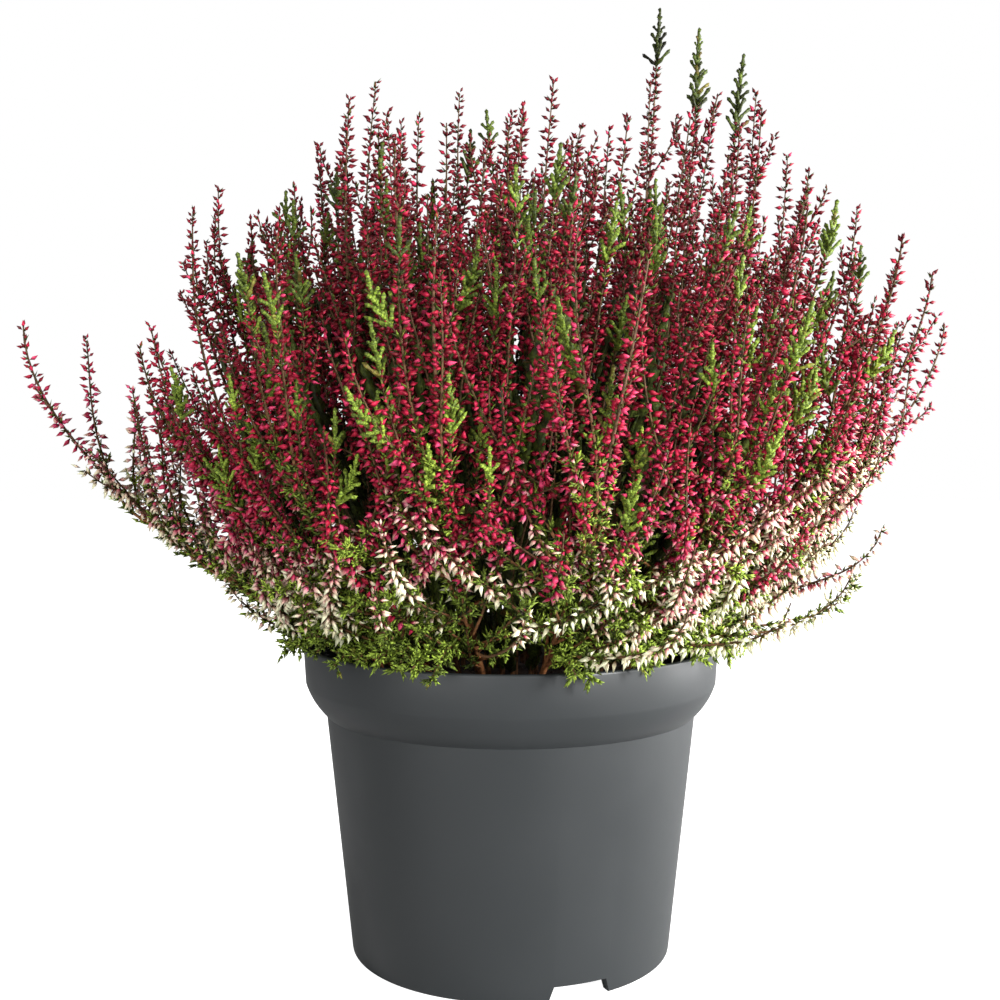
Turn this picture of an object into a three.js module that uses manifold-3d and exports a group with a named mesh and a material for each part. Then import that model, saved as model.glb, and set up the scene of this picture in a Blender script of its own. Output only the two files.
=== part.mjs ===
// A potted heather: a moulded plastic nursery pot with a deep collar, peat soil that fills it, and a bushy plant.
// Every branch of the plant is one solid. It stands in its own hole in the soil, arches outwards over the rim and
// then turns up, and it carries one or more shoots. Units are millimetres, +Z is up, and the origin is on the pot's
// axis in the plane that the pot stands on. -Y is the front.
import * as THREE from "three";
import { mergeVertices } from "three/addons/utils/BufferGeometryUtils.js";
import Module from "manifold-3d";

const wasm = await Module();
wasm.setup();

// ---- Driving dimensions of the pot ----
const POT_HEIGHT = 105;
const RIM_RADIUS = 70;
const COLLAR_FOOT = { radius: 62.4, height: 81.2 }; // where the collar meets the tapering wall
const COLLAR_BEND = { radius: 67.5, height: 86 }; // the corner that is rounded off under the collar
const COLLAR_SHOULDER = { radius: 69.3, height: 92 };
const RIM_EDGE = 1; // the rim's outer edge is rounded off over this height, and half of it in radius
const FOOT_RADIUS = 54; // outside of the foot ring, before its rounded edge
const WALL = 1.6;
const INSIDE_RISE = 1.2; // how much higher the collar's bends lie on the pot's inside
const FOOT_RING_WIDTH = 4;
const FLOOR_UNDERSIDE = 5; // the floor is raised, and the foot ring reaches down past it
const FOOT_EDGE_RADIUS = 1.2;
const POT_SIDES = 40;
const CURVE_STEPS = 3; // chords in each curve of the pot's section
const NOTCH_COUNT = 3;
const NOTCH_WIDTH = 18; // at its top
const NOTCH_FLARE = 1.6; // how much wider it is at each end on the ground
const NOTCH_AZIMUTH = THREE.MathUtils.degToRad(-66.6); // of the notch right of the front
const DRAIN_RADIUS = 4.5;
const DRAIN_CIRCLE = 36;
const DRAIN_SIDES = 8;

// ---- Driving dimensions of the soil ----
const SOIL_TOP = 95;
const SOIL_GAP = 0.35; // between the soil and the pot
const SOIL_EDGE = 1; // the soil falls away from the collar this far, inwards and down
const SOIL_RELIEF = 1.3;
const SOIL_SIDES = 24;
const HOLE_DEPTH = 12;
const HOLE_GAP = 0.3; // round a stem in its hole

// ---- Driving dimensions of the plant ----
const UPRIGHT_BRANCHES = 40;
const FRINGE_BRANCHES = 16; // evenly round the rest, each with low side sprays
const UPRIGHT_SHARE = 0.8; // the upright branches fill this share of the crown's radius
const FRINGE_SHARE = 0.95;
const SEED = 20713; // of every random draw
const GROWTH = [0.93, 1.03]; // how far an upright branch grows, where 1 ends at the crown
const SECOND_SHOOT = [0.86, 0.96]; // its second shoot grows to this share of that
const FRINGE_RADIUS = [0.96, 1.02]; // shares of the crown's radius and height where a fringe branch ends
const FRINGE_HEIGHT = [0.98, 1.04];
const STOOL_RADIUS = 46; // where the outermost stems leave the soil
const STOOL_HEIGHT = SOIL_TOP + 3; // up to here every stem stands upright, clear of its hole's edge
const CROWN_RADIUS = 132; // where the outermost shoots end
const SPREAD_POWER = 1.8; // how soon the branches arch outwards
const TOP_HEIGHT = 284; // middle shoot ends
const SHOULDER_DROP = 62; // how much lower the outermost shoots end
const SHOULDER_POWER = 2.4;
const CROWN_LEAN = 5; // the crown leans to +X
const SIDE_SWELL = 0.06; // and is this share wider there
const PAIR_OFFSET = 0.052; // share of the crown's radius between a branch's middle and each of its two shoots
const FORK_TIME = 0.24; // where the two part, along the branch
const PARTED_TIME = 0.44;
const MIDDLE_BUD_TIME = 0.76; // the middle branch has buds from here up, and the outer ones from earlier
const EARLIER_OUTSIDE = 0.4;
const FRINGE_BARE_TIMES = [0, 0.08, 0.16, 0.23]; // a fringe branch has bare stem between these
const FRINGE_BUD_TIME = 0.3;
const SPRAY_BUD_TIME = 0.3; // of a side spray's length
const FOOT_STEM_RADIUS = 1.4;
const SHOOT_STEM_RADIUS = 1;
const BUD_STEP = 10; // between two whorls
const BUD_REACH = 4.9; // from the shoot's axis to a bud's point
const LEAF_REACH = 3.2;
const BUD_LIFT = 0.2; // share of a step that a bud's point stands above its middle
const BUD_ROOM = 4.6; // a bud isn't raised this near to another shoot's line
const FORK_LENGTH = 3; // of the stem that a side shoot stands on
const GOLDEN_ANGLE = Math.PI * (3 - Math.sqrt(5));
const WELD = 1e-3; // corners closer than this are one

// Upright branches that aren't left to the spiral and the draws: the place in the crown's disc, and how far each one
// grows.
const LEADERS = [
  { u: 0.31, v: 0.13, growth: 1.25 },
  { u: 0.4, v: -0.1, growth: 1.17 },
  { u: 0.53, v: 0.08, growth: 1.22 },
  { u: 0.57, v: -0.27, growth: 1.08 },
  { u: -0.38, v: -0.22, growth: 1.07 },
  { u: -0.37, v: -0.44, growth: 1.04 },
  { u: -0.11, v: 0.1, growth: 1.05 },
  { u: 0.03, v: -0.2, growth: 1.02 },
  { u: -0.26, v: -0.05, growth: 0.98 },
  { u: -0.83, v: -0.07, growth: 1.05 },
];
// Fringe branches that reach out of the crown: the nearest to this azimuth in degrees ends at this radius and height.
const WIDEST = [
  { azimuth: 168, radius: 118, height: 254 },
  { azimuth: 187, radius: 162, height: 211 },
  { azimuth: 5, radius: 153, height: 215 },
  { azimuth: 272, radius: 138, height: 222 },
  { azimuth: 92, radius: 138, height: 226 },
];
// Side sprays of a fringe branch: where each forks off, how far it swings round the pot's axis, where it ends, and
// how much of its branch's extra reach it follows.
const SIDE_SPRAYS = [
  { forkTime: 0.08, swing: 0.16, radius: 104, height: 129, follow: 0 },
  { forkTime: 0.16, swing: -0.16, radius: 111, height: 149, follow: 0.1 },
  { forkTime: 0.28, swing: 0.12, radius: 120, height: 175, follow: 0.15 },
  { forkTime: 0.42, swing: -0.13, radius: 128, height: 203, follow: 0.3 },
];
const SPRAY_RISE = 0.25; // slope of a side spray where it leaves, and from the upright where it ends
const SPRAY_LEAN = 0.11; // share of its end's depth below this height that a side spray is shifted towards +X
const SPRAY_LEAN_HEIGHT = 200;
const SPRAY_SWING = [0.85, 1.15]; // shares that vary their sizes
const SPRAY_RADIUS = [0.95, 1.05];
const SPRAY_HEIGHT = [0.98, 1.03];

// ---- Materials ----
const finish = (color, roughness) => new THREE.MeshStandardMaterial({ color, roughness, metalness: 0 });
const POT_PLASTIC = finish(0x4a4e51, 0.5);
const PEAT = finish(0x2a1d16, 0.95);
const CRIMSON_BUDS = finish(0xb01e44, 0.6);
const PALE_BUDS = finish(0xe8cfd0, 0.6);

// ---- Solids ----
// A closed geometry as a manifold solid: only its positions count, and shared corners are merged.
function toSolid(geometry) {
  const bare = geometry.clone();
  bare.deleteAttribute("normal");
  bare.deleteAttribute("uv");
  const merged = mergeVertices(bare, WELD);
  return new wasm.Manifold(
    new wasm.Mesh({
      numProp: 3,
      vertProperties: merged.attributes.position.array,
      triVerts: new Uint32Array(merged.index.array),
    }),
  );
}

function toGeometry(solid) {
  const mesh = solid.getMesh();
  const geometry = new THREE.BufferGeometry();
  geometry.setAttribute("position", new THREE.BufferAttribute(mesh.vertProperties, 3));
  geometry.setIndex(new THREE.BufferAttribute(mesh.triVerts, 1));
  return geometry;
}

function namedMesh(name, geometry, material) {
  const mesh = new THREE.Mesh(geometry, material);
  mesh.name = name;
  return mesh;
}

// A section in (radius, height), turned about +Z.
function turned(section, sides) {
  return new THREE.LatheGeometry(section, sides).rotateX(Math.PI / 2);
}

// The same draws for the same seed: the Park-Miller generator.
function makeDraw(seed) {
  let state = seed;
  return () => {
    state = (state * 16807) % 2147483647;
    return state / 2147483647;
  };
}

function drawWithin([low, high], draw) {
  return THREE.MathUtils.lerp(low, high, draw());
}

// ---- Pot ----
// The tapering wall's outside at a height.
function wallRadius(height) {
  return THREE.MathUtils.lerp(FOOT_RADIUS, COLLAR_FOOT.radius, height / COLLAR_FOOT.height);
}

// The outer wall from the foot's edge to the rim's top, drawn on a path.
function drawOuterWall(path) {
  path.lineTo(FOOT_RADIUS - FOOT_EDGE_RADIUS, 0);
  path.quadraticCurveTo(FOOT_RADIUS, 0, wallRadius(FOOT_EDGE_RADIUS), FOOT_EDGE_RADIUS);
  path.lineTo(COLLAR_FOOT.radius, COLLAR_FOOT.height);
  path.quadraticCurveTo(COLLAR_BEND.radius, COLLAR_BEND.height, COLLAR_SHOULDER.radius, COLLAR_SHOULDER.height);
  path.lineTo(RIM_RADIUS, POT_HEIGHT - RIM_EDGE);
  path.lineTo(RIM_RADIUS - RIM_EDGE / 2, POT_HEIGHT);
}

// The place on the pot's inside that lies behind one on its outside.
function inside({ radius, height }) {
  return { radius: radius - WALL, height: height + INSIDE_RISE };
}

const INNER_FLOOR = FLOOR_UNDERSIDE + WALL;
const INNER_FOOT_RADIUS = wallRadius(INNER_FLOOR) - WALL;
const INNER_NECK = inside(COLLAR_FOOT);
const INNER_BEND = inside(COLLAR_BEND);
const INNER_COLLAR = inside(COLLAR_SHOULDER);

// A block that cuts a drainage notch through the foot ring on +X, wider at the ground than at the pot's floor.
function notchBlock() {
  const [top, reach] = [NOTCH_WIDTH / 2, FOOT_RING_WIDTH * 3];
  const opening = new THREE.Shape([
    new THREE.Vector2(-top, FLOOR_UNDERSIDE),
    new THREE.Vector2(-top - 2 * NOTCH_FLARE, -FLOOR_UNDERSIDE),
    new THREE.Vector2(top + 2 * NOTCH_FLARE, -FLOOR_UNDERSIDE),
    new THREE.Vector2(top, FLOOR_UNDERSIDE),
  ]);
  const block = new THREE.ExtrudeGeometry(opening, { depth: 2 * reach, bevelEnabled: false });
  block.translate(0, 0, FOOT_RADIUS - reach).rotateX(Math.PI / 2);
  return block.rotateZ(Math.PI / 2);
}

function makePot() {
  const section = new THREE.Path();
  section.moveTo(0, FLOOR_UNDERSIDE);
  section.lineTo(FOOT_RADIUS - FOOT_RING_WIDTH, FLOOR_UNDERSIDE);
  section.lineTo(FOOT_RADIUS - FOOT_RING_WIDTH, 0);
  drawOuterWall(section);
  section.lineTo(RIM_RADIUS - WALL, POT_HEIGHT);
  section.lineTo(INNER_COLLAR.radius, INNER_COLLAR.height);
  section.quadraticCurveTo(INNER_BEND.radius, INNER_BEND.height, INNER_NECK.radius, INNER_NECK.height);
  section.lineTo(INNER_FOOT_RADIUS, INNER_FLOOR);
  section.lineTo(0, INNER_FLOOR);
  let pot = toSolid(turned(section.getPoints(CURVE_STEPS), POT_SIDES));
  for (let i = 0; i < NOTCH_COUNT; i++) {
    const azimuth = NOTCH_AZIMUTH + (i * 2 * Math.PI) / NOTCH_COUNT;
    const drain = new THREE.CylinderGeometry(DRAIN_RADIUS, DRAIN_RADIUS, WALL * 4, DRAIN_SIDES);
    drain.rotateX(Math.PI / 2).translate(DRAIN_CIRCLE, 0, FLOOR_UNDERSIDE + WALL / 2);
    pot = pot.subtract(toSolid(notchBlock().rotateZ(azimuth))).subtract(toSolid(drain.rotateZ(azimuth)));
  }
  return namedMesh("pot", toGeometry(pot), POT_PLASTIC);
}

// ---- Growth of the plant ----
// A place in the crown is (u, v) in the unit disc. Every branch follows one flow, from the stool at time 0 to the
// crown at time 1, so that branches that start apart stay apart.
function flowPoint({ u, v, radius, height }, time) {
  const arch = time < 1 ? 1 - Math.pow(1 - time, SPREAD_POWER) : 1;
  const spread = STOOL_RADIUS + (radius - STOOL_RADIUS) * arch;
  return new THREE.Vector3(
    u * spread + CROWN_LEAN * time * time,
    v * spread,
    STOOL_HEIGHT + (height - STOOL_HEIGHT) * time,
  );
}

function crownPlace(u, v) {
  const rho = Math.hypot(u, v);
  return {
    u,
    v,
    radius: CROWN_RADIUS * (1 + (SIDE_SWELL * u) / Math.max(rho, 0.01)),
    height: TOP_HEIGHT - SHOULDER_DROP * Math.pow(rho, SHOULDER_POWER),
  };
}

function nearest(places, u, v) {
  const away = places.map((place) => Math.hypot(place.u - u, place.v - v));
  return places[away.indexOf(Math.min(...away))];
}

// Where the upright branches stand: the spiral of a seed head.
function uprightPlaces(draw) {
  const places = [];
  for (let i = 0; i < UPRIGHT_BRANCHES; i++) {
    const rho = UPRIGHT_SHARE * Math.sqrt((i + 0.5) / UPRIGHT_BRANCHES);
    const azimuth = i * GOLDEN_ANGLE;
    const place = crownPlace(rho * Math.cos(azimuth), rho * Math.sin(azimuth));
    places.push({ ...place, growth: drawWithin(GROWTH, draw) });
  }
  for (const leader of LEADERS) Object.assign(nearest(places, leader.u, leader.v), leader);
  return places;
}

// Where the fringe branches stand: a ring.
function fringePlaces(draw) {
  const places = [];
  for (let i = 0; i < FRINGE_BRANCHES; i++) {
    const azimuth = ((i + 0.5) / FRINGE_BRANCHES) * 2 * Math.PI;
    const place = crownPlace(FRINGE_SHARE * Math.cos(azimuth), FRINGE_SHARE * Math.sin(azimuth));
    place.radius *= drawWithin(FRINGE_RADIUS, draw);
    place.height *= drawWithin(FRINGE_HEIGHT, draw);
    places.push(place);
  }
  for (const { azimuth, radius, height } of WIDEST) {
    const turn = THREE.MathUtils.degToRad(azimuth);
    const place = nearest(places, FRINGE_SHARE * Math.cos(turn), FRINGE_SHARE * Math.sin(turn));
    place.radius = radius / FRINGE_SHARE;
    place.height = height;
  }
  return places;
}

// A shoot: its centre line as points, and the reach of the buds on each stretch between two points. A stretch with
// reach 0 is bare stem. The curve is followed over the bare times, and then with buds from the bud time to the end.
function growShoot(curve, bareTimes, budTime, end) {
  const points = bareTimes.map((time) => curve(time));
  const reaches = bareTimes.map(() => 0);
  const whorls = Math.max(3, Math.round(curve(budTime).distanceTo(curve(end)) / BUD_STEP));
  for (let i = 0; i <= whorls; i++) points.push(curve(THREE.MathUtils.lerp(budTime, end, i / whorls)));
  for (let i = 0; i < whorls; i++) reaches.push(i < whorls - 2 ? BUD_REACH : LEAF_REACH);
  return { points, reaches, sides: [] };
}

// Where a side shoot forks off: a short bare stretch is made for it at the parent's free point nearest to the place.
function forkNear(parent, place) {
  const taken = parent.sides.map((side) => side.start);
  const away = parent.points.map((point) => (taken.includes(point) ? Infinity : point.distanceTo(place)));
  const at = away.indexOf(Math.min(...away));
  const [start, next] = parent.points.slice(at, at + 2);
  parent.points.splice(at + 1, 0, start.clone().lerp(next, FORK_LENGTH / start.distanceTo(next)));
  parent.reaches.splice(at, 0, 0);
  return start;
}

// An upright branch: two shoots that part beside its middle.
function growUpright(place, draw) {
  const turn = draw() * 2 * Math.PI;
  const shorter = drawWithin(SECOND_SHOOT, draw);
  const rho = Math.hypot(place.u, place.v);
  const budTime = Math.max(PARTED_TIME, MIDDLE_BUD_TIME - EARLIER_OUTSIDE * rho);
  const halfParted = (FORK_TIME + PARTED_TIME) / 2;
  const beside = (sign) => (time) => {
    const parted = THREE.MathUtils.clamp((time - FORK_TIME) / (PARTED_TIME - FORK_TIME), 0, 1);
    const share = sign * PAIR_OFFSET * Math.sin((Math.PI / 2) * parted);
    const [u, v] = [place.u + share * Math.cos(turn), place.v + share * Math.sin(turn)];
    return flowPoint({ ...place, u, v }, time);
  };
  const axis = growShoot(beside(1), [0, FORK_TIME / 2, FORK_TIME, halfParted], budTime, place.growth);
  const start = forkNear(axis, beside(1)(FORK_TIME));
  const shoot = growShoot(beside(-1), [FORK_TIME, halfParted], budTime, place.growth * shorter);
  axis.sides.push({ start, shoot });
  return axis;
}

// A fringe branch: an axis that arches over the rim, and side sprays that leave it outwards and turn up.
function growFringe(place, draw) {
  const axis = growShoot((time) => flowPoint(place, time), FRINGE_BARE_TIMES, FRINGE_BUD_TIME, 1);
  const azimuth = Math.atan2(place.v, place.u);
  const wider = place.radius / CROWN_RADIUS - 1;
  for (const spray of SIDE_SPRAYS) {
    const heading = azimuth + spray.swing * drawWithin(SPRAY_SWING, draw);
    const radius = spray.radius * (1 + wider * spray.follow) * drawWithin(SPRAY_RADIUS, draw);
    const height = spray.height * drawWithin(SPRAY_HEIGHT, draw);
    const outwards = new THREE.Vector3(Math.cos(heading), Math.sin(heading), 0);
    const tip = outwards.clone().multiplyScalar(radius).setZ(height);
    tip.x += SPRAY_LEAN * Math.max(0, SPRAY_LEAN_HEIGHT - height);
    const start = forkNear(axis, flowPoint(place, spray.forkTime));
    const third = start.distanceTo(tip) / 3;
    const leave = start.clone().addScaledVector(outwards, third);
    leave.z += third * SPRAY_RISE;
    const arrive = tip.clone().addScaledVector(outwards, -third * SPRAY_RISE);
    arrive.z -= third;
    const arc = new THREE.CubicBezierCurve3(start, leave, arrive, tip);
    const shoot = growShoot((time) => arc.getPoint(time), [0, SPRAY_BUD_TIME / 2], SPRAY_BUD_TIME, 1);
    axis.sides.push({ start, shoot });
  }
  return axis;
}

// ---- Solids of the plant ----
// The directions across a shoot at each of its points, without a turn between them.
function framesAlong(points, firstAcross) {
  const across = firstAcross.clone();
  return points.map((point, i) => {
    const next = points[Math.min(i + 1, points.length - 1)];
    const along = next.clone().sub(points[Math.max(i - 1, 0)]).normalize();
    across.addScaledVector(along, -across.dot(along)).normalize();
    return { across: across.clone(), side: along.clone().cross(across) };
  });
}

function around(frame, sixths) {
  const angle = (sixths * Math.PI) / 3;
  return frame.across.clone().multiplyScalar(Math.cos(angle)).addScaledVector(frame.side, Math.sin(angle));
}

// Adds a shoot to a mesh. It is a three-sided stem whose every ring is turned a sixth from the last. On a stretch
// with buds each of the three sides rises to a point, so that the stretch is a whorl. A side shoot stands on one
// face of its parent: that face's corners are its first ring.
function addShoot(mesh, shoot, base, startRadius) {
  const { points, reaches, sides } = shoot;
  const last = points.length - 1;
  const corner = (index) => new THREE.Vector3().fromArray(mesh.positions, index * 3);
  const addCorner = (place) => mesh.positions.push(place.x, place.y, place.z) / 3 - 1;
  const isCrowded = (place) =>
    mesh.lines.some(
      ({ owner, line }) =>
        owner !== points && line.closestPointToPoint(place, true, new THREE.Vector3()).distanceTo(place) < BUD_ROOM,
    );
  const firstAcross = base ? corner(base[0]).sub(points[0]) : new THREE.Vector3(1, 0, 0);
  const frames = framesAlong(points, firstAcross);
  const rings = points.slice(0, last).map((point, i) => {
    if (i === 0 && base) return base;
    const radius = THREE.MathUtils.lerp(startRadius, SHOOT_STEM_RADIUS, i / last);
    return [0, 2, 4].map((k) => addCorner(around(frames[i], k + i).multiplyScalar(radius).add(point)));
  });
  if (!base) mesh.faces.push([rings[0][0], rings[0][2], rings[0][1]]);
  for (let i = 0; i + 1 < last; i++) {
    const stems = [];
    for (let k = 0; k < 3; k++) {
      const [a, b] = [rings[i][k], rings[i][(k + 1) % 3]];
      const [d, c] = [rings[i + 1][k], rings[i + 1][(k + 1) % 3]];
      const foot = points[i].clone().lerp(points[i + 1], 0.5 + BUD_LIFT);
      const bud = around(frames[i], 2 * k + i + 1.5).multiplyScalar(reaches[i]).add(foot);
      if (reaches[i] > 0 && !isCrowded(bud)) {
        const point = addCorner(bud);
        mesh.faces.push([a, b, point], [b, c, point], [c, d, point], [d, a, point]);
      } else {
        stems.push([a, b, d], [b, c, d]);
      }
    }
    const side = sides.find(({ start }) => start === points[i]);
    if (side) {
      const upwards = points[i + 1].clone().sub(points[i]);
      const heading = side.shoot.points[1].clone().sub(points[i]).projectOnPlane(upwards.normalize());
      const facing = (face) =>
        face.reduce((sum, index) => sum + corner(index).sub(points[i]).dot(heading), 0);
      stems.sort((one, other) => facing(other) - facing(one));
      addShoot(mesh, side.shoot, stems.shift(), SHOOT_STEM_RADIUS);
    }
    mesh.faces.push(...stems);
  }
  const tip = addCorner(points[last]);
  for (let k = 0; k < 3; k++) mesh.faces.push([rings[last - 1][k], rings[last - 1][(k + 1) % 3], tip]);
}

// A branch's one closed surface, from its foot in the soil's hole.
function branchGeometry(axis) {
  const foot = axis.points[0].clone().setZ(SOIL_TOP - HOLE_DEPTH + HOLE_GAP);
  const rooted = { points: [foot, ...axis.points], reaches: [0, ...axis.reaches], sides: axis.sides };
  const mesh = { positions: [], faces: [], lines: [] };
  for (const { points } of [rooted, ...rooted.sides.map((side) => side.shoot)]) {
    for (let i = 0; i + 1 < points.length; i++) {
      mesh.lines.push({ owner: points, line: new THREE.Line3(points[i], points[i + 1]) });
    }
  }
  addShoot(mesh, rooted, null, FOOT_STEM_RADIUS);
  const geometry = new THREE.BufferGeometry();
  geometry.setAttribute("position", new THREE.Float32BufferAttribute(mesh.positions, 3));
  geometry.setIndex(mesh.faces.flat());
  return geometry;
}

function makeBranches(name, axes, material) {
  return axes.map((axis, i) => {
    const number = String(i + 1).padStart(2, "0");
    return namedMesh(`${name}_${number}`, branchGeometry(axis), material);
  });
}

// ---- Soil ----
// Low mounds: two crossing waves, 20 to 60 mm long.
function soilRelief(x, y) {
  return SOIL_RELIEF * (Math.sin(x * 0.21 + 1) * Math.cos(y * 0.17) + 0.5 * Math.sin(x * 0.11 - y * 0.29));
}

function makeSoil(axes) {
  const edge = INNER_COLLAR.radius - SOIL_GAP;
  const section = new THREE.Path();
  section.moveTo(0, INNER_FLOOR + SOIL_GAP);
  section.lineTo(INNER_FOOT_RADIUS - SOIL_GAP, INNER_FLOOR + SOIL_GAP);
  section.lineTo(INNER_NECK.radius - SOIL_GAP, INNER_NECK.height);
  section.lineTo(edge - SOIL_EDGE, INNER_COLLAR.height);
  section.lineTo(edge - SOIL_EDGE, SOIL_TOP - SOIL_EDGE);
  for (const share of [0.9, 0.6, 0.3, 0]) section.lineTo(edge * share, SOIL_TOP);
  const body = turned(section.getPoints(1), SOIL_SIDES);
  const position = body.attributes.position;
  for (let i = 0; i < position.count; i++) {
    if (position.getZ(i) < SOIL_TOP - SOIL_EDGE / 2) continue;
    position.setZ(i, SOIL_TOP + soilRelief(position.getX(i), position.getY(i)));
  }
  const holes = axes.map((axis) => {
    const radius = (FOOT_STEM_RADIUS + HOLE_GAP) * Math.SQRT2;
    const hole = new THREE.CylinderGeometry(radius, radius, HOLE_DEPTH * 2, 4).rotateX(Math.PI / 2);
    const { x, y } = axis.points[0];
    return toSolid(hole.translate(x, y, SOIL_TOP));
  });
  return namedMesh("soil", toGeometry(toSolid(body).subtract(wasm.Manifold.union(holes))), PEAT);
}

// ---- The whole plant in its pot ----
const draw = makeDraw(SEED);
const uprights = uprightPlaces(draw).map((place) => growUpright(place, draw));
const fringe = fringePlaces(draw).map((place) => growFringe(place, draw));
const pottedHeather = new THREE.Group();
pottedHeather.add(makePot(), makeSoil([...uprights, ...fringe]));
pottedHeather.add(...makeBranches("flowering_branch", uprights, CRIMSON_BUDS));
pottedHeather.add(...makeBranches("fringe_branch", fringe, PALE_BUDS));

export default pottedHeather;
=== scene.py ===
# A potted heather: a moulded nursery pot, peat, and a bushy plant whose every branch is one piece. Measures
# are in millimetres until a mesh is made. +Z is up, -Y is the front, and the pot stands on Z = 0.
import math

import bmesh
import bpy
import numpy as np
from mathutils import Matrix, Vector, noise


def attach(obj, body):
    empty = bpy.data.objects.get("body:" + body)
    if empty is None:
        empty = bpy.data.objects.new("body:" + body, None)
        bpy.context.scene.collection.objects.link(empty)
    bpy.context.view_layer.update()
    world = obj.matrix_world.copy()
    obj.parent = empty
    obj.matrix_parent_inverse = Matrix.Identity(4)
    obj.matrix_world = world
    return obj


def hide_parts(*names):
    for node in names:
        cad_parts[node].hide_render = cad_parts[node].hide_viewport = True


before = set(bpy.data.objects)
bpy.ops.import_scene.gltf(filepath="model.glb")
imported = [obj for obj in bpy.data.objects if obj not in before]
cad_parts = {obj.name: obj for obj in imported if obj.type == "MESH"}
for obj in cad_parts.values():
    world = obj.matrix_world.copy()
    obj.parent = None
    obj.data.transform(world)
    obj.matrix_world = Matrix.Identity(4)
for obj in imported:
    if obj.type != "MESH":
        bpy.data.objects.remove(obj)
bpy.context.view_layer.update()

MILLIMETRE = 0.001  # in metres
FULL_TURN = 2 * math.pi

# ---- Sizes of the pot ----
POT_HEIGHT = 105
RIM_RADIUS = 70
RIM_EDGE = 1
COLLAR_FOOT = (62.4, 81.2)  # radius and height, where the collar leaves the tapering wall
COLLAR_BEND = (67.5, 86)  # the corner that its underside rounds
COLLAR_SHOULDER = (69.3, 92)
FOOT_RADIUS = 54
FOOT_EDGE_RADIUS = 1.2
FOOT_RING_WIDTH = 4
FLOOR_UNDERSIDE = 5
WALL = 1.6
INSIDE_RISE = 1.2  # a bend of the inside lies this much higher than the outside's
MIDDLE_RADIUS = 6  # a turned body closes with a flat disc of this radius
POT_SIDES = 128
NOTCH_COUNT = 3
NOTCH_WIDTH = 18
NOTCH_FLARE = 1.6  # how much wider a notch is at each end on the ground
NOTCH_AZIMUTH = math.radians(-66.6)
NOTCH_REACH = 6  # widths of the foot ring, so that the cut clears it on both sides
DRAIN_RADIUS = 4.5
DRAIN_CIRCLE = 36
DRAIN_REACH = 6  # thicknesses of the floor

# ---- Sizes of the soil ----
SOIL_TOP = 95
SOIL_GAP = 0.35  # to the pot
SOIL_EDGE = 1
SOIL_RELIEF = 1.3
CLODS = [(0.22, 1.6, 0), (0.7, 0.7, 7)]  # how close they lie, how high they are, and the cut of the noise
SOIL_RINGS = 32
CRUMBS = 700

# ---- How the plant grows: the same rule as its plain solids ----
STEM_FOOT_HEIGHT = 83.3
UPRIGHT_BRANCHES = 40
FRINGE_BRANCHES = 16
UPRIGHT_SHARE = 0.8
FRINGE_SHARE = 0.95
STOOL_RADIUS = 46
STOOL_HEIGHT = SOIL_TOP + 3
CROWN_RADIUS = 132
SPREAD_POWER = 1.8
TOP_HEIGHT = 284
SHOULDER_DROP = 62
SHOULDER_POWER = 2.4
CROWN_LEAN = 5
SIDE_SWELL = 0.06
PAIR_OFFSET = 0.052
FORK_TIME = 0.24
PARTED_TIME = 0.44
FRINGE_BUD_TIME = 0.3
SPRAY_BUD_TIME = 0.3
SPRAY_RISE = 0.25
GOLDEN_ANGLE = math.pi * (3 - math.sqrt(5))
SEED = 20713
GROWTH = (0.93, 1.03)
SECOND_SHOOT = (0.86, 0.96)
FRINGE_RADIUS, FRINGE_HEIGHT = (0.96, 1.02), (0.98, 1.04)
MIDDLE_BUD_TIME = 0.76
EARLIER_OUTSIDE = 0.4
LEADERS = [  # place in the crown's disc, and how far it grows
    (0.31, 0.13, 1.25), (0.4, -0.1, 1.17), (0.53, 0.08, 1.22), (0.57, -0.27, 1.08), (-0.38, -0.22, 1.07),
    (-0.37, -0.44, 1.04), (-0.11, 0.1, 1.05), (0.03, -0.2, 1.02), (-0.26, -0.05, 0.98), (-0.83, -0.07, 1.05),
]
LEADING_GROWTH = 1.1  # past this a shoot stands out of the crown, with a long leafy tip
WIDEST = [  # azimuth in degrees, radius, height
    (168, 118, 254), (187, 162, 211), (5, 153, 215), (272, 138, 222), (92, 138, 226),
]
SIDE_SPRAYS = [  # fork time, swing, radius, height, follow
    (0.08, 0.16, 104, 129, 0), (0.16, -0.16, 111, 149, 0.1),
    (0.28, 0.12, 120, 175, 0.15), (0.42, -0.13, 128, 203, 0.3),
]
SPRAY_LEAN = 0.11
SPRAY_LEAN_HEIGHT = 200
SPRAY_SWING, SPRAY_RADIUS, SPRAY_HEIGHT = (0.85, 1.15), (0.95, 1.05), (0.98, 1.03)

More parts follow.
